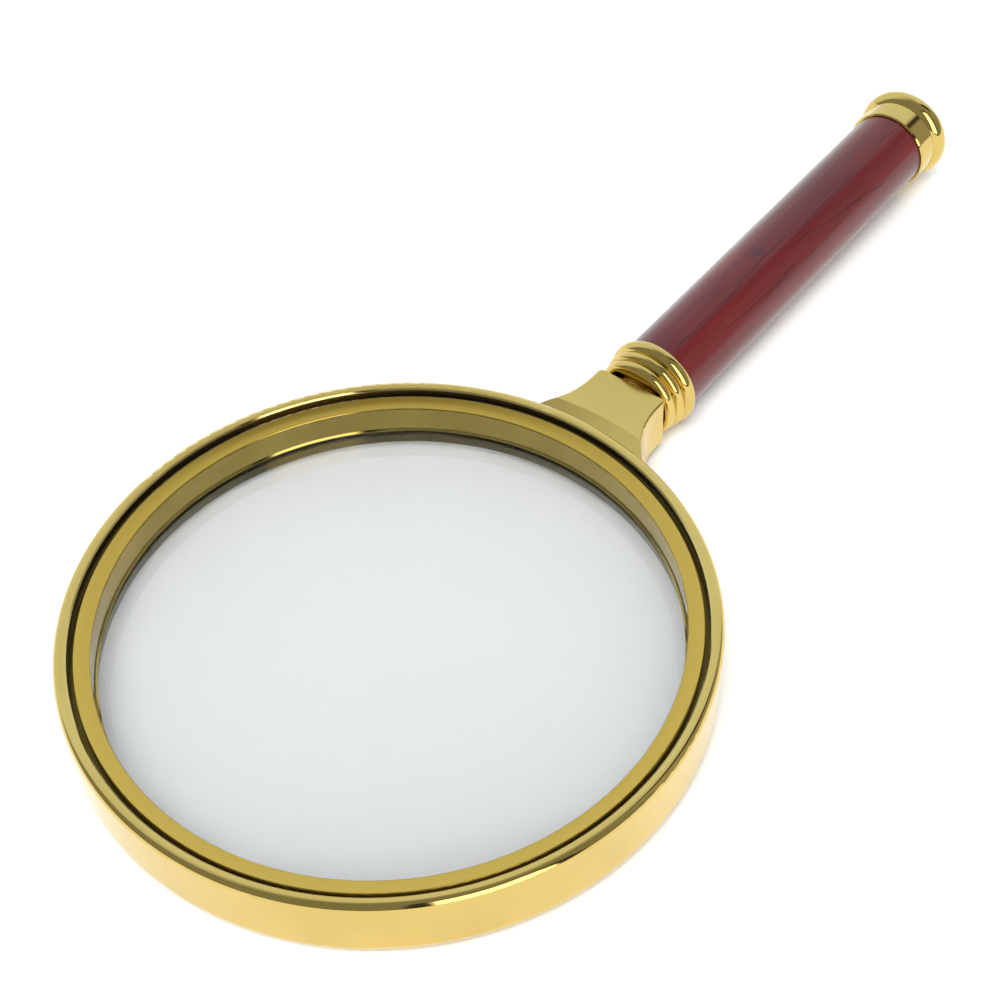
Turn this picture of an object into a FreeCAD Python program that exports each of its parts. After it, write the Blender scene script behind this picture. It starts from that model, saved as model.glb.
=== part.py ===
"""Hand-held magnifying glass: gold-plated rim with a biconvex lens and an unscrewing handle.

Millimetres. The origin is the optical centre of the lens, +Z is the lens axis and points at the
viewer's side, and +X runs along the handle. The head is a cast frame (rim and neck in one), the
lens, a soft cushion ring and a bezel ring. The handle is a turned grip with a ribbed ferrule, an
end cap and a threaded stud, which screws into the neck against a thin washer.
"""
import FreeCAD, Part
import math
import os

Vector = FreeCAD.Vector

# Lens: biconvex, both faces alike
lens_diameter = 100.0
lens_edge_thickness = 2.0
lens_sag = 3.4            # rise of each face from its edge to its middle
lens_clearance = 0.15     # radial, in its pocket
seat_gap = 0.02           # between the glass and what it rests on
lip_cover = 1.35          # how far the lower lip and the bezel reach over the lens edge

# Frame: the rim
lip_height = 3.6          # below the lens edge
rim_wall = 3.1            # outside the bezel ring
rim_rise = 1.0            # top of the rim above the bezel ring
rim_top_round = 1.2
rim_bottom_round = 2.2
crown_drop = 0.15         # the top band falls this much towards the groove
groove_width = 0.9        # dark groove between the rim and the bezel ring
groove_depth = 1.0        # below the top of the bezel ring
lip_chamfer = 0.5
edge_break = 0.25

# Frame: the neck
neck_length = 14.9        # from the rim's outer wall to the end face
neck_width = 14.6
neck_drop = 2.8           # top of the neck below the top of the rim
neck_round = 0.5
neck_corner_round = 1.2   # upright corners of the end face
flare_radius = 16.5       # the flanks sweep out to the rim in arcs of this radius
flare_bite = 0.3          # depth to which the flare arcs sink into the rim's wall
bevel_width = 4.5         # the neck's top face slopes down to the rim
bevel_drop = 1.6

# Bezel ring and the cushion under it
bezel_height = 5.9
bezel_ledge = 1.35        # how far the ring reaches outside the lens
bezel_dish = 0.6          # its top face falls this much towards the lens
bezel_round = 0.2
bezel_lip = 0.3           # thin lip at the foot of its inner wall
bezel_lip_height = 0.45
bezel_clearance = 0.05
cushion_thickness = 0.5
cushion_inset = 0.1       # the cushion stands back from the opening

# Screw joint: coarse metric thread
thread_diameter = 6.0
thread_pitch = 1.0
thread_engagement = 9.0   # stud inside the neck
thread_flank_height = 0.54127    # of the pitch, for a 60 degree thread
thread_mean_depth = 0.32476      # of the pitch, crest to mean diameter
thread_clearance = 0.05   # crest to root, radial, each side
flank_clearance = 0.07    # along the axis, each side
hole_spare = 3.0          # hole depth past the stud's tip
drill_undersize = 0.02    # the drilled hole is this much inside the thread's root
drill_point_angle = 31.0  # slope of the hole's conical end
thread_chamfer = 0.6
mouth_depth = 0.5
mouth_margin = 0.3        # counterbore wider than the thread, radial
mouth_chamfer = 0.2

# Washer and ferrule
washer_thickness = 0.5
washer_radius = 4.8
washer_clearance = 0.3
ferrule_front_radius = 6.8
ferrule_front_wall = 1.6
rib_radii = (8.0, 8.45, 9.05)
rib_widths = (2.3, 2.2, 2.8)
rib_depth = 0.6           # of the sharp grooves between the ribs
ferrule_back_step = 0.4   # the last rib ends this far outside the grip

# Grip
grip_radius = 8.0
grip_length = 84.4        # between the ferrule and the end cap
grip_edge_round = 0.3
tenon_radius = 6.2
front_tenon_length = 5.2
rear_tenon_length = 6.0
glue_gap = 0.05
stud_anchor = 16.0        # shank inside the grip
stud_barb_count = 4
stud_barb_depth = 0.25
stud_barb_start = 2.0     # plain shank before the first barb
stud_plain_end = 2.0      # and after the last one
stud_end_chamfer = 0.8
stud_hole_spare = 1.0

# End cap
cap_collar_radius = 8.5
cap_collar_length = 5.0
cap_groove_depth = 0.15
cap_groove_width = 0.3
cap_bead_radius = 9.6
cap_bead_width = 4.2
cap_end_rise = 0.7        # shallow dome outside the bead

# Worked out from the sizes above
lens_radius = lens_diameter / 2
opening_radius = lens_radius - lip_cover
pocket_radius = lens_radius + lens_clearance
bezel_radius = lens_radius + bezel_ledge
bezel_bore = bezel_radius + bezel_clearance
rim_radius = bezel_bore + rim_wall
edge_z = lens_edge_thickness / 2
lens_curve = (lens_radius ** 2 + lens_sag ** 2) / (2 * lens_sag)
bezel_foot_z = edge_z + cushion_thickness
bezel_top_z = bezel_foot_z + bezel_height
rim_top_z = bezel_top_z + rim_rise
rim_bottom_z = -edge_z - lip_height
neck_top_z = rim_top_z - neck_drop
neck_end_x = rim_radius + neck_length
axis_z = (neck_top_z + rim_bottom_z) / 2
ferrule_length = sum(rib_widths)
ferrule_x = neck_end_x + washer_thickness
grip_x = ferrule_x + ferrule_length
cap_x = grip_x + grip_length
cap_length = cap_collar_length + cap_bead_width + cap_end_rise
thread_radius = thread_diameter / 2
thread_height = thread_flank_height * thread_pitch
thread_mean_radius = thread_radius - thread_mean_depth * thread_pitch
flank_slope = 2 * math.tan(math.radians(30))
hole_radius = thread_radius - thread_height + thread_clearance / 2
stud_shank_radius = thread_radius - 2 * thread_clearance


def point(radius, height):
    """A point of a profile that is turned about the Z axis."""
    return Vector(radius, 0, height)


def line(start, end):
    return Part.LineSegment(start, end).toShape()


def arc(start, middle, end):
    return Part.Arc(start, middle, end).toShape()


def corner_arc(centre, radius, from_degrees, to_degrees):
    """A round corner of a profile, in the XZ plane."""
    angles = [math.radians(a) for a in (from_degrees, (from_degrees + to_degrees) / 2, to_degrees)]
    ends = [centre + Vector(math.cos(a), 0, math.sin(a)) * radius for a in angles]
    return arc(*ends)


def turned(edges):
    """The solid of a closed profile turned about the Z axis."""
    wire = Part.Wire(Part.__sortEdges__(edges))
    return Part.Face(wire).revolve(Vector(0, 0, 0), Vector(0, 0, 1), 360)


def polyline(points):
    return [line(a, b) for a, b in zip(points, points[1:] + points[:1])]


def on_handle(shape, x):
    """Lay a shape built up the Z axis along the handle's axis, its foot at x."""
    laid = shape.copy()
    laid.rotate(Vector(0, 0, 0), Vector(0, 1, 0), 90)
    laid.translate(Vector(x, 0, axis_z))
    return laid


def bulge_height(radius):
    """Height of a lens face above the middle plane at a radius."""
    centre_z = edge_z + lens_sag - lens_curve
    return centre_z + math.sqrt(lens_curve ** 2 - radius ** 2)


def lens():
    half = lens_radius / 2
    top = point(0, edge_z + lens_sag)
    bottom = point(0, -edge_z - lens_sag)
    profile = [
        arc(top, point(half, bulge_height(half)), point(lens_radius, edge_z)),
        line(point(lens_radius, edge_z), point(lens_radius, -edge_z)),
        arc(point(lens_radius, -edge_z), point(half, -bulge_height(half)), bottom),
        line(bottom, top),
    ]
    return turned(profile)


def lens_cushion():
    """Soft ring squeezed between the glass and the bezel ring; its foot follows the glass."""
    inner = opening_radius + cushion_inset
    outer = lens_radius
    foot_inner = bulge_height(inner) + seat_gap
    foot_outer = edge_z + seat_gap
    return turned(polyline([
        point(inner, foot_inner), point(outer, foot_outer),
        point(outer, bezel_foot_z), point(inner, bezel_foot_z),
    ]))


def bezel_ring():
    """Ring that holds the lens down: dished top face, straight bore, thin lip at its foot."""
    inner_top_z = bezel_top_z - bezel_dish
    lip_z = bezel_foot_z + bezel_lip_height
    outer_corner = point(bezel_radius - bezel_round, bezel_top_z - bezel_round)
    inner_corner = point(opening_radius + bezel_round, inner_top_z - bezel_round)
    dish_outer = outer_corner + Vector(0, 0, bezel_round)
    dish_inner = inner_corner + Vector(0, 0, bezel_round)
    dish_middle = (dish_outer + dish_inner) * 0.5 - Vector(0, 0, bezel_dish / 6)
    wall_top = inner_corner - Vector(bezel_round, 0, 0)
    outer_top = outer_corner + Vector(bezel_round, 0, 0)
    lip_radius = opening_radius - bezel_lip
    return turned([
        line(point(bezel_radius, bezel_foot_z), outer_top),
        corner_arc(outer_corner, bezel_round, 0, 90),
        arc(dish_outer, dish_middle, dish_inner),
        corner_arc(inner_corner, bezel_round, 90, 180),
        line(wall_top, point(opening_radius, lip_z)),
        line(point(opening_radius, lip_z), point(lip_radius, lip_z - bezel_lip)),
        line(point(lip_radius, lip_z - bezel_lip), point(lip_radius, bezel_foot_z)),
        line(point(lip_radius, bezel_foot_z), point(bezel_radius, bezel_foot_z)),
    ])


def rim():
    """The round part of the frame: outer wall, crowned top band, bezel bore and lens seat."""
    groove_radius = bezel_radius + groove_width
    groove_z = bezel_top_z - groove_depth
    seat_inner_z = -bulge_height(opening_radius) - seat_gap
    seat_outer_z = -edge_z - seat_gap
    top_centre = point(rim_radius - rim_top_round, rim_top_z - rim_top_round)
    bottom_centre = point(rim_radius - rim_bottom_round, rim_bottom_z + rim_bottom_round)
    crown_start = top_centre + Vector(0, 0, rim_top_round)
    crown_end = point(groove_radius + edge_break, rim_top_z - crown_drop)
    crown_span = crown_start.x - crown_end.x
    crown_curve = (crown_span ** 2 + crown_drop ** 2) / (2 * crown_drop)
    middle_fall = crown_curve - math.sqrt(crown_curve ** 2 - (crown_span / 2) ** 2)
    crown_middle = Vector((crown_start.x + crown_end.x) / 2, 0, rim_top_z - middle_fall)
    corners = [
        crown_end,
        point(groove_radius, crown_end.z - edge_break),
        point(groove_radius, groove_z),
        point(bezel_bore, groove_z - (groove_radius - bezel_bore)),
        point(bezel_bore, bezel_foot_z),
        point(pocket_radius, bezel_foot_z),
        point(pocket_radius, seat_outer_z),
        point(opening_radius, seat_inner_z),
        point(opening_radius, rim_bottom_z + lip_chamfer),
        point(opening_radius + lip_chamfer, rim_bottom_z),
        bottom_centre - Vector(0, 0, rim_bottom_round),
    ]
    edges = [line(a, b) for a, b in zip(corners, corners[1:])]
    edges.append(corner_arc(bottom_centre, rim_bottom_round, 270, 360))
    edges.append(line(bottom_centre + Vector(rim_bottom_round, 0, 0), top_centre + Vector(rim_top_round, 0, 0)))
    edges.append(corner_arc(top_centre, rim_top_round, 0, 90))
    edges.append(arc(crown_start, crown_middle, crown_end))
    return turned(edges)


def neck_plan(z):
    """Outline of the neck at height z: end edge, straight flanks and flares that run into the rim."""
    half = neck_width / 2
    reach = rim_radius - flare_bite + flare_radius
    flare_y = half + flare_radius
    flare_x = math.sqrt(reach ** 2 - flare_y ** 2)
    turn = math.atan2(flare_y, flare_x)
    inner_radius = rim_radius - rim_wall / 2
    outline = {}
    for side in (1, -1):
        centre = Vector(flare_x, side * flare_y, z)
        start = Vector(flare_x, side * half, z)
        toward_rim = Vector(-math.cos(turn), -side * math.sin(turn), 0) * flare_radius
        halfway = (math.pi / 2 + turn) / 2
        toward_middle = Vector(-math.cos(halfway), -side * math.sin(halfway), 0) * flare_radius
        end = centre + toward_rim
        inner = Vector(math.cos(turn) * inner_radius, side * math.sin(turn) * inner_radius, z)
        outline[side] = [start, centre + toward_middle, end, inner, Vector(neck_end_x, side * half, z)]
    (start_a, mid_a, end_a, inner_a, tip_a) = outline[1]
    (start_b, mid_b, end_b, inner_b, tip_b) = outline[-1]
    inner_middle = Vector(inner_radius, 0, z)
    return Part.Wire([
        line(tip_b, tip_a), line(tip_a, start_a), arc(start_a, mid_a, end_a), line(end_a, inner_a),
        arc(inner_a, inner_middle, inner_b),
        line(inner_b, end_b), arc(end_b, mid_b, start_b), line(start_b, tip_b),
    ])


def neck_block():
    """The neck, its upright end corners and then its outer edges rounded."""
    block = Part.Face(neck_plan(rim_bottom_z)).extrude(Vector(0, 0, neck_top_z - rim_bottom_z))
    corners = []
    for edge in block.Edges:
        if all(abs(end.Point.x - neck_end_x) < 1e-6 for end in edge.Vertexes):
            if abs(edge.Vertexes[0].Z - edge.Vertexes[1].Z) > neck_corner_round:
                corners.append(edge)
    block = block.makeFillet(neck_corner_round, corners)
    rounded = []
    for edge in block.Edges:
        middle = edge.valueAt((edge.FirstParameter + edge.LastParameter) / 2)
        if math.hypot(middle.x, middle.y) > rim_radius:
            rounded.append(edge)
    return block.makeFillet(neck_round, rounded)


def bevel_cut():
    """What is cut off the neck where its top slopes down to the rim."""
    reach = bevel_width + rim_wall
    edge = point(rim_radius + bevel_width, neck_top_z)
    foot = point(edge.x - reach, neck_top_z - bevel_drop * reach / bevel_width)
    return turned(polyline([edge, point(edge.x, rim_top_z), point(foot.x, rim_top_z), foot]))


def thread_section(root_radius, crest_radius, width_change):
    """Cut across a single-start thread: root arc, two flanks and crest arc, wrapped round the axis."""
    def half_angle(radius):
        width = thread_pitch / 2 + flank_slope * (thread_mean_radius - radius) + width_change
        return math.pi * width / thread_pitch

    def at(radius, angle):
        return Vector(radius * math.cos(angle), radius * math.sin(angle), 0)

    def round_part(radius, start, end):
        return arc(at(radius, start), at(radius, (start + end) / 2), at(radius, end))

    def flank(radii, angles):
        shares = [index / 6 for index in range(7)]
        curve = Part.BSplineCurve()
        curve.interpolate([
            at(radii[0] + (radii[1] - radii[0]) * share, angles[0] + (angles[1] - angles[0]) * share)
            for share in shares])
        return curve.toShape()

    root, crest = half_angle(root_radius), half_angle(crest_radius)
    return Part.Wire([
        round_part(crest_radius, -crest, crest),
        flank((crest_radius, root_radius), (crest, root)),
        round_part(root_radius, root, 2 * math.pi - root),
        flank((root_radius, crest_radius), (-root, -crest)),
    ])


def thread_turn(section, length):
    """One turn of the thread, or a part of one, up the Z axis."""
    sweep = Part.BRepOffsetAPI.MakePipeShell(Part.Wire([line(Vector(0, 0, 0), Vector(0, 0, length))]))
    guide = Part.makeHelix(thread_pitch, length, 2 * thread_diameter)
    sweep.setAuxiliarySpine(Part.Wire(guide.Edges), True, 0)
    sweep.add(section)
    sweep.build()
    sweep.makeSolid()
    return sweep.shape()


def threaded_rod(root_radius, crest_radius, width_change, length, x):
    """Right-hand threaded rod from x along the handle's axis, in phase with every other one there."""
    section = thread_section(root_radius, crest_radius, width_change)
    whole_turns = int(length / thread_pitch + 1e-6)
    rest = length - whole_turns * thread_pitch
    turn = thread_turn(section, thread_pitch)
    turns = [turn.translated(Vector(0, 0, index * thread_pitch)) for index in range(whole_turns)]
    if rest > 1e-6:
        turns.append(thread_turn(section, rest).translated(Vector(0, 0, whole_turns * thread_pitch)))
    rod = turns[0].multiFuse(turns[1:])
    rod.rotate(Vector(0, 0, 0), Vector(0, 0, 1), 360 * (x / thread_pitch % 1))
    return on_handle(rod, x)


def drilled_hole():
    """Tapping-size hole with a drill point, as deep as the stud and its spare depth."""
    depth = thread_engagement + hole_spare
    drill_radius = hole_radius - drill_undersize
    tip = drill_radius * math.tan(math.radians(drill_point_angle))
    drill = turned(polyline([
        point(0, -tip), point(drill_radius, 0), point(drill_radius, depth), point(0, depth),
    ]))
    return on_handle(drill, neck_end_x - depth)


def hole_mouth():
    """Shallow counterbore that leads the stud into the neck; the thread starts at its floor."""
    radius = thread_radius + thread_clearance + mouth_margin
    straight = mouth_depth - mouth_chamfer
    pocket = turned(polyline([
        point(0, 0), point(radius, 0), point(radius, straight),
        point(radius + mouth_chamfer, mouth_depth), point(0, mouth_depth),
    ]))
    return on_handle(pocket, neck_end_x - mouth_depth)


def lens_frame():
    body = rim().fuse(neck_block().cut(bevel_cut())).removeSplitter()
    thread_x = neck_end_x - thread_engagement - thread_pitch
    thread_end_x = neck_end_x - mouth_depth / 2
    thread = threaded_rod(hole_radius, thread_radius + thread_clearance, 2 * flank_clearance,
                          thread_end_x - thread_x, thread_x)
    return body.cut(drilled_hole()).cut(hole_mouth()).cut(thread)


def stud():
    """Threaded stud: its thread stands out of the ferrule, its barbed shank is fixed in the grip."""
    tip_x = neck_end_x - thread_engagement
    thread_length = thread_engagement + washer_thickness
    core_radius = thread_radius - thread_height - thread_clearance
    crest_radius = thread_radius - thread_clearance
    rod = threaded_rod(core_radius, crest_radius, -2 * flank_clearance, thread_length, tip_x)
    outside = crest_radius + thread_chamfer
    envelope = on_handle(turned(polyline([
        point(0, 0), point(crest_radius - thread_chamfer, 0), point(outside, 2 * thread_chamfer),
        point(outside, thread_length + 1), point(0, thread_length + 1),
    ])), tip_x)
    shank = turned(polyline(shank_profile(thread_length, ferrule_length + stud_anchor)))
    return rod.common(envelope).fuse(on_handle(shank, tip_x))


def shank_profile(foot, length):
    """Plain shank with saw-tooth barbs along the part inside the grip."""
    radius = stud_shank_radius
    step = (stud_anchor - stud_barb_start - stud_plain_end) / stud_barb_count
    points = [point(0, foot), point(radius, foot)]
    for index in range(stud_barb_count):
        barb_foot = foot + length - stud_anchor + stud_barb_start + index * step
        points.append(point(radius, barb_foot))
        points.append(point(radius - stud_barb_depth, barb_foot))
    points.append(point(radius, foot + length - stud_end_chamfer))
    points.append(point(radius - stud_end_chamfer, foot + length))
    points.append(point(0, foot + length))
    return points


def seat_washer():
    bore = thread_radius + washer_clearance
    outer = washer_radius
    round_ = washer_thickness / 2
    ring = turned([
        line(point(bore, 0), point(outer - round_, 0)),
        corner_arc(point(outer - round_, round_), round_, -90, 90),
        line(point(outer - round_, washer_thickness), point(bore, washer_thickness)),
        line(point(bore, washer_thickness), point(bore, 0)),
    ])
    return on_handle(ring, neck_end_x)


def bead_arc(foot, head, crest_radius):
    """A round bead between two points of a profile."""
    return arc(foot, point(crest_radius, (foot.z + head.z) / 2), head)


def ferrule():
    """Turned ferrule: three round ribs with sharp grooves between, hollow for the grip's tenon."""
    edges = []
    front = point(ferrule_front_radius, 0)
    foot = front
    for crest, width in zip(rib_radii, rib_widths):
        head = point(crest - rib_depth, foot.z + width)
        if crest == rib_radii[-1]:
            head = point(grip_radius + ferrule_back_step, ferrule_length)
        edges.append(bead_arc(foot, head, crest))
        foot = head
    socket = tenon_radius + glue_gap
    bore = stud_shank_radius + glue_gap
    inside = [
        foot, point(socket, ferrule_length), point(socket, ferrule_front_wall),
        point(bore, ferrule_front_wall), point(bore, 0), front,
    ]
    edges += [line(a, b) for a, b in zip(inside, inside[1:])]
    return on_handle(turned(edges), ferrule_x)


def grip():
    """Turned rod with a tenon at each end and a blind hole for the stud's shank."""
    edge = grip_edge_round
    hole = stud_shank_radius + glue_gap
    front = -front_tenon_length
    hole_end = stud_anchor + stud_hole_spare
    rear = grip_length + rear_tenon_length
    rod = turned([
        line(point(hole, front), point(tenon_radius, front)),
        line(point(tenon_radius, front), point(tenon_radius, 0)),
        line(point(tenon_radius, 0), point(grip_radius - edge, 0)),
        corner_arc(point(grip_radius - edge, edge), edge, -90, 0),
        line(point(grip_radius, edge), point(grip_radius, grip_length - edge)),
        corner_arc(point(grip_radius - edge, grip_length - edge), edge, 0, 90),
        line(point(grip_radius - edge, grip_length), point(tenon_radius, grip_length)),
        line(point(tenon_radius, grip_length), point(tenon_radius, rear)),
        line(point(tenon_radius, rear), point(0, rear)),
        line(point(0, rear), point(0, hole_end)),
        line(point(0, hole_end), point(hole, hole_end)),
        line(point(hole, hole_end), point(hole, front)),
    ])
    return on_handle(rod, grip_x)


def end_cap():
    """Cap with a straight collar, a narrow groove, a round bead and a shallow domed end."""
    socket = tenon_radius + glue_gap
    socket_depth = rear_tenon_length + glue_gap
    groove_foot = cap_collar_length - cap_groove_width
    groove_radius = cap_collar_radius - cap_groove_depth
    bead_foot = point(groove_radius, cap_collar_length)
    bead_head = point(cap_collar_radius - cap_groove_depth, cap_collar_length + cap_bead_width)
    crown = point(0, cap_length)
    dome_curve = (bead_head.x ** 2 + cap_end_rise ** 2) / (2 * cap_end_rise)
    dome_middle_z = cap_length - dome_curve + math.sqrt(dome_curve ** 2 - (bead_head.x / 2) ** 2)
    dome_middle = point(bead_head.x / 2, dome_middle_z)
    return on_handle(turned([
        line(point(socket, 0), point(cap_collar_radius - edge_break, 0)),
        line(point(cap_collar_radius - edge_break, 0), point(cap_collar_radius, edge_break)),
        line(point(cap_collar_radius, edge_break), point(cap_collar_radius, groove_foot)),
        line(point(cap_collar_radius, groove_foot), point(groove_radius, groove_foot)),
        line(point(groove_radius, groove_foot), bead_foot),
        bead_arc(bead_foot, bead_head, cap_bead_radius),
        arc(bead_head, dome_middle, crown),
        line(crown, point(0, socket_depth)),
        line(point(0, socket_depth), point(socket, socket_depth)),
        line(point(socket, socket_depth), point(socket, 0)),
    ]), cap_x)


def main():
    os.makedirs("parts", exist_ok=True)
    pieces = {
        "lens_frame": lens_frame(),
        "lens": lens(),
        "lens_cushion": lens_cushion(),
        "bezel_ring": bezel_ring(),
        "seat_washer": seat_washer(),
        "stud": stud(),
        "ferrule": ferrule(),
        "grip": grip(),
        "end_cap": end_cap(),
    }
    for name, shape in pieces.items():
        print(name, "valid" if shape.isValid() else "INVALID", len(shape.Solids), "solid",
              round(shape.Volume, 1), "mm3")
        shape.exportStep(f"parts/{name}.step")
    travel = thread_engagement + thread_pitch
    print("screw axis at x", neck_end_x, "z", axis_z, "travel", travel, "turns", travel / thread_pitch)


main()
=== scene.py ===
"""Looks for the magnifying glass: materials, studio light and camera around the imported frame."""
import bpy
import math
from mathutils import Matrix, Vector


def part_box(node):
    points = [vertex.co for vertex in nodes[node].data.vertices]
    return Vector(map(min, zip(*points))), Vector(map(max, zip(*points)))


MM = 0.001

# Places on the pieces, in millimetres, in the frame's own axes
GROOVE_RADIUS = 52.37            # outer wall of the groove round the bezel ring
GROOVE_TOP = 8.025
LIP_RADIUS = 48.75               # inner wall of the rim's lower lip
LIP_TOP = 0.1
NECK_TOP = 5.6                   # height of the neck's flat top face
NECK_TOP_START = 59.0            # its distance from the lens axis
SATIN_ROUGHNESS = 0.24           # of the groove and the neck's top face
BEZEL_TOP = 6.7                  # the bezel ring is satin above this height
GRIP_RADIUS = 8.0
GRIP_AXIS = 0.5                  # height of the grip's axis
KNOT = (110.5, -0.3, 8.5)        # dark knot, on top of the grip
KNOT_CORE = 0.2
KNOT_EDGE = 1.9
KNOT_SQUEEZE = (0.6, 1.0, 1.0)   # the knot is longer along the grip
VEIN_FADE = 3.0                  # length over which a vein ends
RIM_BOTTOM_ROUND = 2.2           # round edge under the rim, which rests on the floor
FLOOR_GAP = 0.05

# Colours
GOLD_LIGHT = (0.7, 0.52, 0.165)
GOLD_DARK = (0.64, 0.47, 0.14)
# Painted shade: greyer, darker gold for the groove round the bezel ring, standing in for the shade in
# that recess
GROOVE_SHADE_COLOUR = (0.5, 0.48, 0.4)
# Painted shade: near black for the inner wall of the rim's lower lip, under the lens
LIP_SHADE_COLOUR = (0.1, 0.08, 0.04)
# Painted shade: the bezel's polished bore is coloured a darker amber than its satin top face
BEZEL_BORE_SHADE_PALE = (0.42, 0.32, 0.095)
BEZEL_BORE_SHADE_DEEP = (0.36, 0.27, 0.075)
BEZEL_SATIN = (0.62, 0.425, 0.085)
VEIN_DARK = (0.02, 0.006, 0.01)
KNOT_DARK = (0.035, 0.012, 0.025)

# Veins of the grip
VEINS = (                        # start, end, place round the grip, slope, wander, width
    (80.0, 160.0, 2.6, 0.0, 3.0, 0.22),
    (88.0, 150.0, -1.8, 0.012, 2.5, 0.16),
    (118.0, 150.0, 4.2, 0.16, 2.5, 0.24),
    (92.0, 118.0, 7.0, 0.02, 3.0, 0.18),
    (130.0, 160.0, -4.5, -0.02, 2.5, 0.18),
    (84.0, 156.0, 16.0, 0.02, 6.0, 0.22),
    (96.0, 150.0, -14.0, 0.03, 5.0, 0.22),
)

# Surroundings that the gold reflects
ROOM = (0.3, 0.31, 0.3)
WALL = (                         # sine of the height, colour
    (0.0, (0.95, 1.0, 1.02)),
    (0.35, (0.92, 1.0, 1.05)),
    (0.6, (0.88, 0.98, 1.06)),
    (0.8, (0.86, 0.94, 1.0)),
    (0.92, (0.66, 0.7, 0.72)),
    (0.99, ROOM),
)
WALL_AZIMUTHS = (-16, 110)       # degrees
WALL_HEIGHTS = (-60, 85)
WALL_SOFT = 0.12
WINDOWS = (                      # azimuths and heights in degrees, colour; later ones lie over earlier
    ((-62, -16), (-10, 60), (0.42, 0.42, 0.4)),
    ((-42, -18), (34, 64), (0.07, 0.07, 0.07)),
    ((-140, -90), (-2, 62), (0.05, 0.05, 0.05)),
    ((-132, -98), (4, 56), (3.2, 3.1, 2.95)),
)

# Lamp, in metres and watts
LAMP_PLACE = (-0.9, -0.6, 2.4)
LAMP_TARGET = (0.05, 0, 0)
LAMP_SIZE = (1.6, 1.6)
LAMP_WATTS = 70.0

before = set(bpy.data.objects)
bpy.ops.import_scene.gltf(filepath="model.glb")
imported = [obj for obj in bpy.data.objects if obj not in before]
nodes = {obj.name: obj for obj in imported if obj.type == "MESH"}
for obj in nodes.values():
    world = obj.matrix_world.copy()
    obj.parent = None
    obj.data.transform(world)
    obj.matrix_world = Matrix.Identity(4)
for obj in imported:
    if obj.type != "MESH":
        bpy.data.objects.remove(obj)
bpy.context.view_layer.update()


# ---------------------------------------------------------------- shader helpers
def new_material(name):
    material = bpy.data.materials.new(name)
    material.use_nodes = True
    tree = material.node_tree
    return material, tree, tree.nodes["Principled BSDF"]


def add(tree, kind, **values):
    """A shader node; values are its properties, or its inputs where no such property exists."""
    node = tree.nodes.new(kind)
    for key, value in values.items():
        if hasattr(node, key):
            setattr(node, key, value)
        else:
            node.inputs[key.replace("_", " ")].default_value = value
    return node


def join(tree, source, target):
    tree.links.new(source, target)


def ramp(tree, stops):
    """Colour ramp from (position, colour) pairs; a colour is a grey value or an RGB triple."""
    node = tree.nodes.new("ShaderNodeValToRGB")
    elements = node.color_ramp.elements
    while len(elements) > 1:
        elements.remove(elements[-1])
    for index, (position, colour) in enumerate(stops):
        element = elements[0] if index == 0 else elements.new(position)
        element.position = position
        rgb = (colour,) * 3 if isinstance(colour, (int, float)) else colour
        element.color = (*rgb, 1.0)
    return node


def object_millimetres(tree, scale=(1, 1, 1)):
    """Object coordinates in millimetres, stretched by a scale for each axis."""
    coords = tree.nodes.new("ShaderNodeTexCoord")
    mapping = tree.nodes.new("ShaderNodeMapping")
    mapping.inputs["Scale"].default_value = [s / MM for s in scale]
    join(tree, coords.outputs["Object"], mapping.inputs["Vector"])
    return mapping.outputs["Vector"]


def noise(tree, vector, scale, detail=3.0, roughness=0.5):
    """Cloudy noise from 0 to 1."""
    node = add(tree, "ShaderNodeTexNoise", Scale=scale, Detail=detail, Roughness=roughness)
    join(tree, vector, node.inputs["Vector"])
    return node.outputs["Fac"]


def dress(name, material):
    """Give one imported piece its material."""
    slots = nodes[name].data.materials
    if len(slots) == 0:
        slots.append(material)
    for index in range(len(slots)):
        slots[index] = material


def blend(tree, factor, first, second, mode="MIX"):
    """Mix two colours; each is a socket or an RGB triple, factor a socket or a number."""
    node = add(tree, "ShaderNodeMix", data_type="RGBA", blend_type=mode)
    sockets = (node.inputs["Factor"], node.inputs[6], node.inputs[7])
    for socket, value in zip(sockets, (factor, first, second)):
        if isinstance(value, bpy.types.NodeSocket):
            join(tree, value, socket)
        elif isinstance(value, tuple):
            socket.default_value = (*value, 1.0)
        else:
            socket.default_value = value
    return node.outputs[2]


def math_node(tree, operation, first, second=0.0):
    """A sum, product and so on of two values; each is a socket or a number."""
    node = add(tree, "ShaderNodeMath", operation=operation)
    for socket, value in zip(node.inputs, (first, second)):
        if isinstance(value, bpy.types.NodeSocket):
            join(tree, value, socket)
        else:
            socket.default_value = value
    return node.outputs[0]


def step(tree, value, start, end):
    """0 below start, 1 above end, smooth between; start may be above end."""
    node = add(tree, "ShaderNodeMapRange", interpolation_type="SMOOTHSTEP")
    join(tree, value, node.inputs["Value"])
    node.inputs["From Min"].default_value = start
    node.inputs["From Max"].default_value = end
    return node.outputs["Result"]


def edge(tree, value, place, blur):
    """0 below a place and 1 above it, smooth over the blur; a negative blur turns it round."""
    return step(tree, value, place - blur, place + blur)


def axis_parts(tree, vector):
    """The x, y and z of a vector."""
    split = tree.nodes.new("ShaderNodeSeparateXYZ")
    join(tree, vector, split.inputs["Vector"])
    return split.outputs


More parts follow.
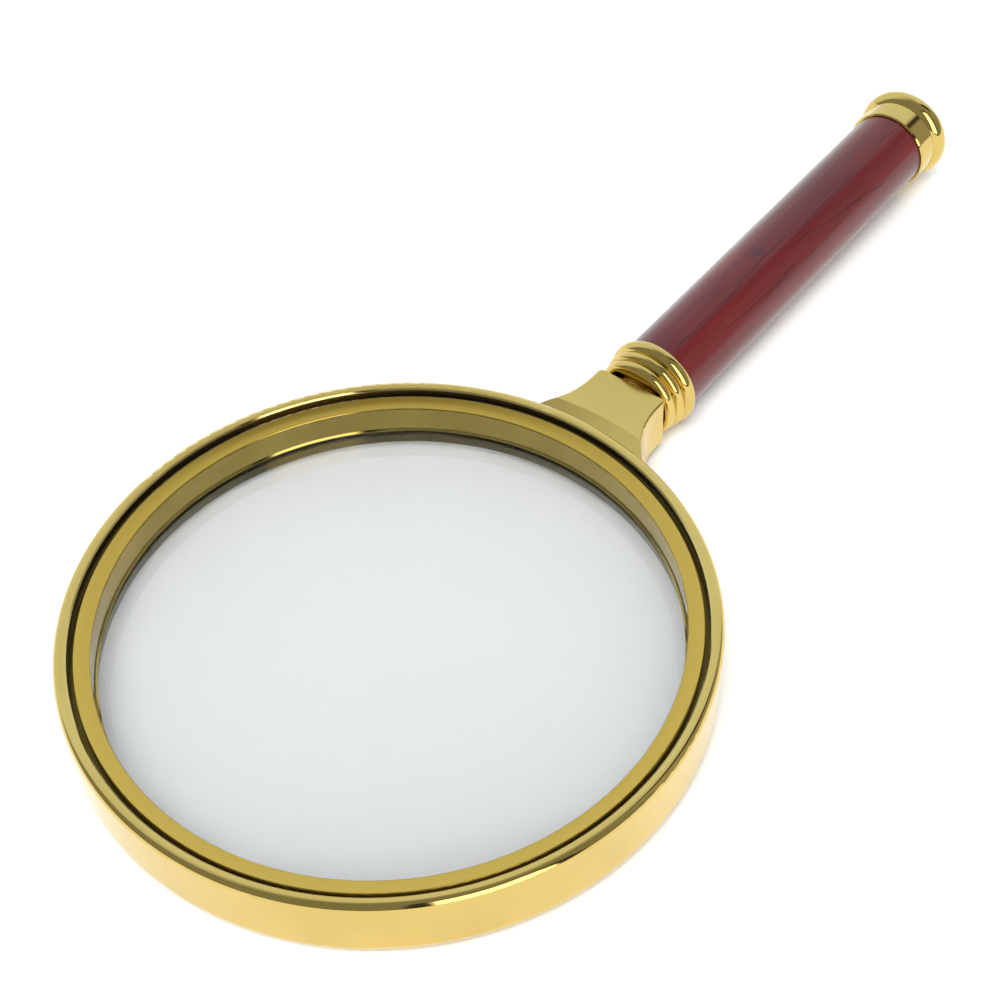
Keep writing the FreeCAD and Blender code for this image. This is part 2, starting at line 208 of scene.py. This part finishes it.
# ---------------------------------------------------------------- materials
def gold(name, light, dark, rough_low, rough_high, bump):
    """Gold plating: slightly clouded colour, uneven polish, and a faint ripple."""
    material, tree, shader = new_material(name)
    place = object_millimetres(tree)
    cloud = noise(tree, place, 0.06, 4.0)
    tint = ramp(tree, [(0.35, dark), (0.65, light)])
    join(tree, cloud, tint.inputs["Fac"])
    haze = noise(tree, place, 0.3, 5.0, 0.6)
    rough = ramp(tree, [(0.3, rough_low), (0.75, rough_high)])
    join(tree, haze, rough.inputs["Fac"])
    ripple = noise(tree, place, 0.12, 2.0)
    relief = add(tree, "ShaderNodeBump", Strength=bump, Distance=0.0002)
    join(tree, ripple, relief.inputs["Height"])
    join(tree, relief.outputs["Normal"], shader.inputs["Normal"])
    join(tree, tint.outputs["Color"], shader.inputs["Base Color"])
    join(tree, rough.outputs["Color"], shader.inputs["Roughness"])
    shader.inputs["Metallic"].default_value = 1.0
    return material, tree, shader, tint.outputs["Color"], rough.outputs["Color"]


def plated_frame():
    """Polished gold; the groove round the bezel is satin and coloured a greyer, darker gold as painted
    shade, the inner wall of the rim's lower lip is coloured near black as painted shade, and the neck's
    top face is satin.
    """
    material, tree, shader, tint, rough = gold(
        "gold_plate", GOLD_LIGHT, GOLD_DARK, 0.035, 0.075, 0.08)
    x, y, z = axis_parts(tree, object_millimetres(tree))
    radius = math_node(tree, "SQRT", math_node(
        tree, "ADD", math_node(tree, "MULTIPLY", x, x), math_node(tree, "MULTIPLY", y, y)))
    # Painted shade: the groove round the bezel is coloured a greyer, darker gold; further down it is also
    # made satin
    groove = math_node(tree, "MULTIPLY", edge(tree, radius, GROOVE_RADIUS, -0.05),
                       edge(tree, z, GROOVE_TOP, -0.125))
    # Painted shade: the lip's inner wall under the lens is coloured near black
    lip = math_node(tree, "MULTIPLY", edge(tree, radius, LIP_RADIUS, -0.05), edge(tree, z, LIP_TOP, -0.1))
    colour = blend(tree, lip, blend(tree, groove, tint, GROOVE_SHADE_COLOUR), LIP_SHADE_COLOUR)
    join(tree, colour, shader.inputs["Base Color"])
    off_top = math_node(tree, "ABSOLUTE", math_node(tree, "SUBTRACT", z, NECK_TOP))
    top = math_node(tree, "MULTIPLY", edge(tree, off_top, 0.06, -0.04),
                    edge(tree, radius, NECK_TOP_START, 0.1))
    satin = blend(tree, math_node(tree, "MAXIMUM", groove, top), rough,
                  (SATIN_ROUGHNESS,) * 3)
    join(tree, satin, shader.inputs["Roughness"])
    return material


def plain_gold():
    """Polished gold all over, for the turned pieces."""
    return gold("gold_turned", GOLD_LIGHT, GOLD_DARK, 0.03, 0.07, 0.06)[0]


def bezel_gold():
    """The bezel ring: satin amber top face, polished bore coloured a darker amber as painted shade."""
    material, tree, shader, tint, rough = gold(
        "bezel_gold", BEZEL_BORE_SHADE_PALE, BEZEL_BORE_SHADE_DEEP, 0.03, 0.06, 0.08)
    z = axis_parts(tree, object_millimetres(tree))[2]
    top = edge(tree, z, BEZEL_TOP, 0.08)
    grain = noise(tree, object_millimetres(tree), 2.5, 3.0)
    satin = ramp(tree, [(0.3, 0.2), (0.7, 0.26)])
    join(tree, grain, satin.inputs["Fac"])
    # Painted shade: below the top face the bore keeps the darker amber tint, the top face gets the
    # lighter satin amber
    join(tree, blend(tree, top, tint, BEZEL_SATIN), shader.inputs["Base Color"])
    join(tree, blend(tree, top, rough, satin.outputs["Color"]), shader.inputs["Roughness"])
    return material


def glass():
    """Clear crown glass, faintly green along its edge."""
    material, tree, shader = new_material("optical_glass")
    shader.inputs["Base Color"].default_value = (1.0, 1.0, 1.0, 1.0)
    shader.inputs["Transmission Weight"].default_value = 1.0
    shader.inputs["IOR"].default_value = 1.52
    place = object_millimetres(tree)
    smear = noise(tree, place, 0.03, 5.0, 0.6)
    rough = ramp(tree, [(0.45, 0.0), (0.8, 0.008)])
    join(tree, smear, rough.inputs["Fac"])
    join(tree, rough.outputs["Color"], shader.inputs["Roughness"])
    body = add(tree, "ShaderNodeVolumeAbsorption", Density=3.0)
    body.inputs["Color"].default_value = (0.55, 0.95, 0.8, 1.0)
    join(tree, body.outputs["Volume"], tree.nodes["Material Output"].inputs["Volume"])
    return material


def rubber():
    """Matt black cushion."""
    material, tree, shader = new_material("cushion_rubber")
    place = object_millimetres(tree)
    grain = noise(tree, place, 2.0, 4.0)
    tint = ramp(tree, [(0.3, 0.012), (0.8, 0.035)])
    join(tree, grain, tint.inputs["Fac"])
    join(tree, tint.outputs["Color"], shader.inputs["Base Color"])
    shader.inputs["Roughness"].default_value = 0.6
    return material


def stud_metal():
    """The stud's metal: thinly gold-plated, a little duller than the turned pieces."""
    material, tree, shader = new_material("stud_steel")
    place = object_millimetres(tree)
    grain = noise(tree, place, 0.4, 3.0)
    tint = ramp(tree, [(0.3, (0.56, 0.41, 0.16)), (0.7, (0.68, 0.51, 0.21))])
    join(tree, grain, tint.inputs["Fac"])
    join(tree, tint.outputs["Color"], shader.inputs["Base Color"])
    rough = ramp(tree, [(0.3, 0.14), (0.8, 0.26)])
    join(tree, grain, rough.inputs["Fac"])
    join(tree, rough.outputs["Color"], shader.inputs["Roughness"])
    shader.inputs["Metallic"].default_value = 1.0
    return material


def vein(tree, around, along, start, end, place, slope, wander, width):
    """A thin dark line along the grip between two places: 1 on the line, 0 away from it.

    around is the distance round the grip from its top and along is the place on its axis, in
    millimetres; the line starts at place, leans by slope and wanders to either side."""
    seed = start * 7.0           # each vein wanders in its own way
    wave = add(tree, "ShaderNodeTexNoise", noise_dimensions="1D", Scale=0.05, Detail=4.0, Roughness=0.55)
    join(tree, math_node(tree, "ADD", along, seed), wave.inputs["W"])
    bend = math_node(tree, "MULTIPLY", math_node(tree, "SUBTRACT", wave.outputs["Fac"], 0.5), wander)
    drift = math_node(tree, "MULTIPLY", math_node(tree, "SUBTRACT", along, start), slope)
    middle = math_node(tree, "ADD", math_node(tree, "ADD", bend, drift), place)
    away = math_node(tree, "ABSOLUTE", math_node(tree, "SUBTRACT", around, middle))
    line = step(tree, away, width, width * 0.2)
    ends = math_node(tree, "MULTIPLY", edge(tree, along, start, VEIN_FADE),
                     edge(tree, along, end, -VEIN_FADE))
    return math_node(tree, "MULTIPLY", line, ends)


def knot(tree):
    """1 in the middle of the knot, 0 outside it."""
    place = add(tree, "ShaderNodeVectorMath", operation="SUBTRACT")
    join(tree, object_millimetres(tree), place.inputs[0])
    place.inputs[1].default_value = KNOT
    squeeze = add(tree, "ShaderNodeVectorMath", operation="MULTIPLY")
    join(tree, place.outputs["Vector"], squeeze.inputs[0])
    squeeze.inputs[1].default_value = KNOT_SQUEEZE
    length = add(tree, "ShaderNodeVectorMath", operation="LENGTH")
    join(tree, squeeze.outputs["Vector"], length.inputs[0])
    return step(tree, length.outputs["Value"], KNOT_EDGE, KNOT_CORE)


def rosewood():
    """Dark red imitation rosewood under clear lacquer, with thin dark veins and one knot."""
    material, tree, shader = new_material("rosewood")
    body = noise(tree, object_millimetres(tree, (0.02, 0.14, 0.14)), 1.0, 3.0)
    tint = ramp(tree, [(0.3, (0.08, 0.01, 0.015)), (0.5, (0.108, 0.012, 0.014)),
                       (0.7, (0.14, 0.015, 0.014))])
    join(tree, body, tint.inputs["Fac"])
    fine = noise(tree, object_millimetres(tree, (0.08, 1.4, 1.4)), 1.0, 4.0)
    streak = ramp(tree, [(0.3, 0.84), (0.7, 1.06)])
    join(tree, fine, streak.inputs["Fac"])
    colour = blend(tree, 1.0, tint.outputs["Color"], streak.outputs["Color"], "MULTIPLY")
    x, y, z = axis_parts(tree, object_millimetres(tree))
    turn = math_node(tree, "ARCTAN2", math_node(tree, "MULTIPLY", y, -1.0),
                     math_node(tree, "SUBTRACT", z, GRIP_AXIS))
    around = math_node(tree, "MULTIPLY", turn, GRIP_RADIUS)
    lines = None
    for details in VEINS:
        line = vein(tree, around, x, *details)
        lines = line if lines is None else math_node(tree, "MAXIMUM", lines, line)
    fade = ramp(tree, [(0.3, 0.35), (0.6, 0.85)])
    join(tree, noise(tree, object_millimetres(tree, (0.12, 0.3, 0.3)), 1.0, 2.0), fade.inputs["Fac"])
    strength = math_node(tree, "MULTIPLY", lines, fade.outputs["Color"])
    colour = blend(tree, strength, colour, VEIN_DARK)
    colour = blend(tree, math_node(tree, "MULTIPLY", knot(tree), 0.75), colour, KNOT_DARK)
    join(tree, colour, shader.inputs["Base Color"])
    shader.inputs["Roughness"].default_value = 0.4
    shader.inputs["Specular IOR Level"].default_value = 0.1
    shader.inputs["Coat Weight"].default_value = 1.0
    shader.inputs["Coat IOR"].default_value = 1.34
    shader.inputs["Coat Roughness"].default_value = 0.2
    return material


# ---------------------------------------------------------------- stage
def floor():
    """Pale floor that touches the underside of the rim at one end and the end cap at the other."""
    rim_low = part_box("lens_frame")[0]
    cap_low, cap_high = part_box("end_cap")
    touch_rim = Vector((rim_low.x + RIM_BOTTOM_ROUND * MM, 0, rim_low.z))
    touch_cap = Vector(((cap_low.x + cap_high.x) / 2, 0, cap_low.z))
    run = touch_cap - touch_rim
    slope = math.atan2(run.z, run.x)
    bpy.ops.mesh.primitive_plane_add(size=6.0)
    plane = bpy.context.object
    plane.name = "floor"
    plane.location = (touch_rim + touch_cap) / 2 - Vector((0, 0, FLOOR_GAP * MM))
    plane.rotation_euler = (0, -slope, 0)
    material, tree, shader = new_material("pale_floor")
    shader.inputs["Base Color"].default_value = (0.9, 0.9, 0.9, 1.0)
    shader.inputs["Roughness"].default_value = 0.9
    plane.data.materials.append(material)


def overhead_lamp():
    """Large soft lamp above the camera's side; the gold doesn't mirror it."""
    data = bpy.data.lights.new("overhead", "AREA")
    data.shape = "RECTANGLE"
    data.size, data.size_y = LAMP_SIZE
    data.energy = LAMP_WATTS
    lamp = bpy.data.objects.new("overhead", data)
    lamp.location = LAMP_PLACE
    direction = Vector(LAMP_TARGET) - Vector(LAMP_PLACE)
    lamp.rotation_euler = direction.to_track_quat("-Z", "Y").to_euler()
    lamp.visible_glossy = False
    bpy.context.scene.collection.objects.link(lamp)


def patch(tree, direction, azimuths, heights, soft=0.03):
    """1 inside a window of the surroundings, given in degrees of azimuth and of height, else 0."""
    x, y, z = axis_parts(tree, direction)
    inside = None
    for azimuth, side in zip(azimuths, (1, -1)):
        angle = math.radians(azimuth)
        across = math_node(tree, "ADD", math_node(tree, "MULTIPLY", x, -side * math.sin(angle)),
                           math_node(tree, "MULTIPLY", y, side * math.cos(angle)))
        part = edge(tree, across, 0.0, soft)
        inside = part if inside is None else math_node(tree, "MULTIPLY", inside, part)
    for height, side in zip(heights, (1, -1)):
        part = edge(tree, z, math.sin(math.radians(height)), side * soft)
        inside = math_node(tree, "MULTIPLY", inside, part)
    return inside


def surroundings():
    """Dim grey studio: a pale wall beyond the handle, one white softbox on the right."""
    world = bpy.data.worlds.new("studio")
    bpy.context.scene.world = world
    world.use_nodes = True
    tree = world.node_tree
    direction = tree.nodes.new("ShaderNodeTexCoord").outputs["Generated"]
    z = axis_parts(tree, direction)[2]
    wall = ramp(tree, WALL)
    join(tree, z, wall.inputs["Fac"])
    wall_part = patch(tree, direction, WALL_AZIMUTHS, WALL_HEIGHTS, WALL_SOFT)
    colour = blend(tree, wall_part, ROOM, wall.outputs["Color"])
    for azimuths, heights, tone in WINDOWS:
        colour = blend(tree, patch(tree, direction, azimuths, heights), colour, tone)
    join(tree, colour, tree.nodes["Background"].inputs["Color"])
    tree.nodes["Background"].inputs["Strength"].default_value = 1.0


def camera():
    """The photograph's viewpoint: above the rim's near left, looking along towards the handle."""
    place = Vector((-136.83, -140.19, 247.63)) * MM
    aim = Vector((36.22, 5.42, 0.0)) * MM
    roll = math.radians(-3.22)
    data = bpy.data.cameras.new("camera")
    data.lens = 68.25
    data.sensor_width = 36.0
    data.clip_start = 0.01
    rig = bpy.data.objects.new("camera", data)
    turn = (aim - place).to_track_quat("-Z", "Y").to_matrix().to_4x4()
    rig.matrix_world = Matrix.Translation(place) @ turn @ Matrix.Rotation(roll, 4, "Z")
    bpy.context.scene.collection.objects.link(rig)
    bpy.context.scene.camera = rig


camera()
dress("lens_frame", plated_frame())
turned_gold = plain_gold()
for name in ("seat_washer", "ferrule", "end_cap"):
    dress(name, turned_gold)
dress("bezel_ring", bezel_gold())
dress("lens", glass())
dress("lens_cushion", rubber())
dress("stud", stud_metal())
dress("grip", rosewood())
floor()
surroundings()
overhead_lamp()
bpy.context.scene.view_settings.view_transform = "Standard"
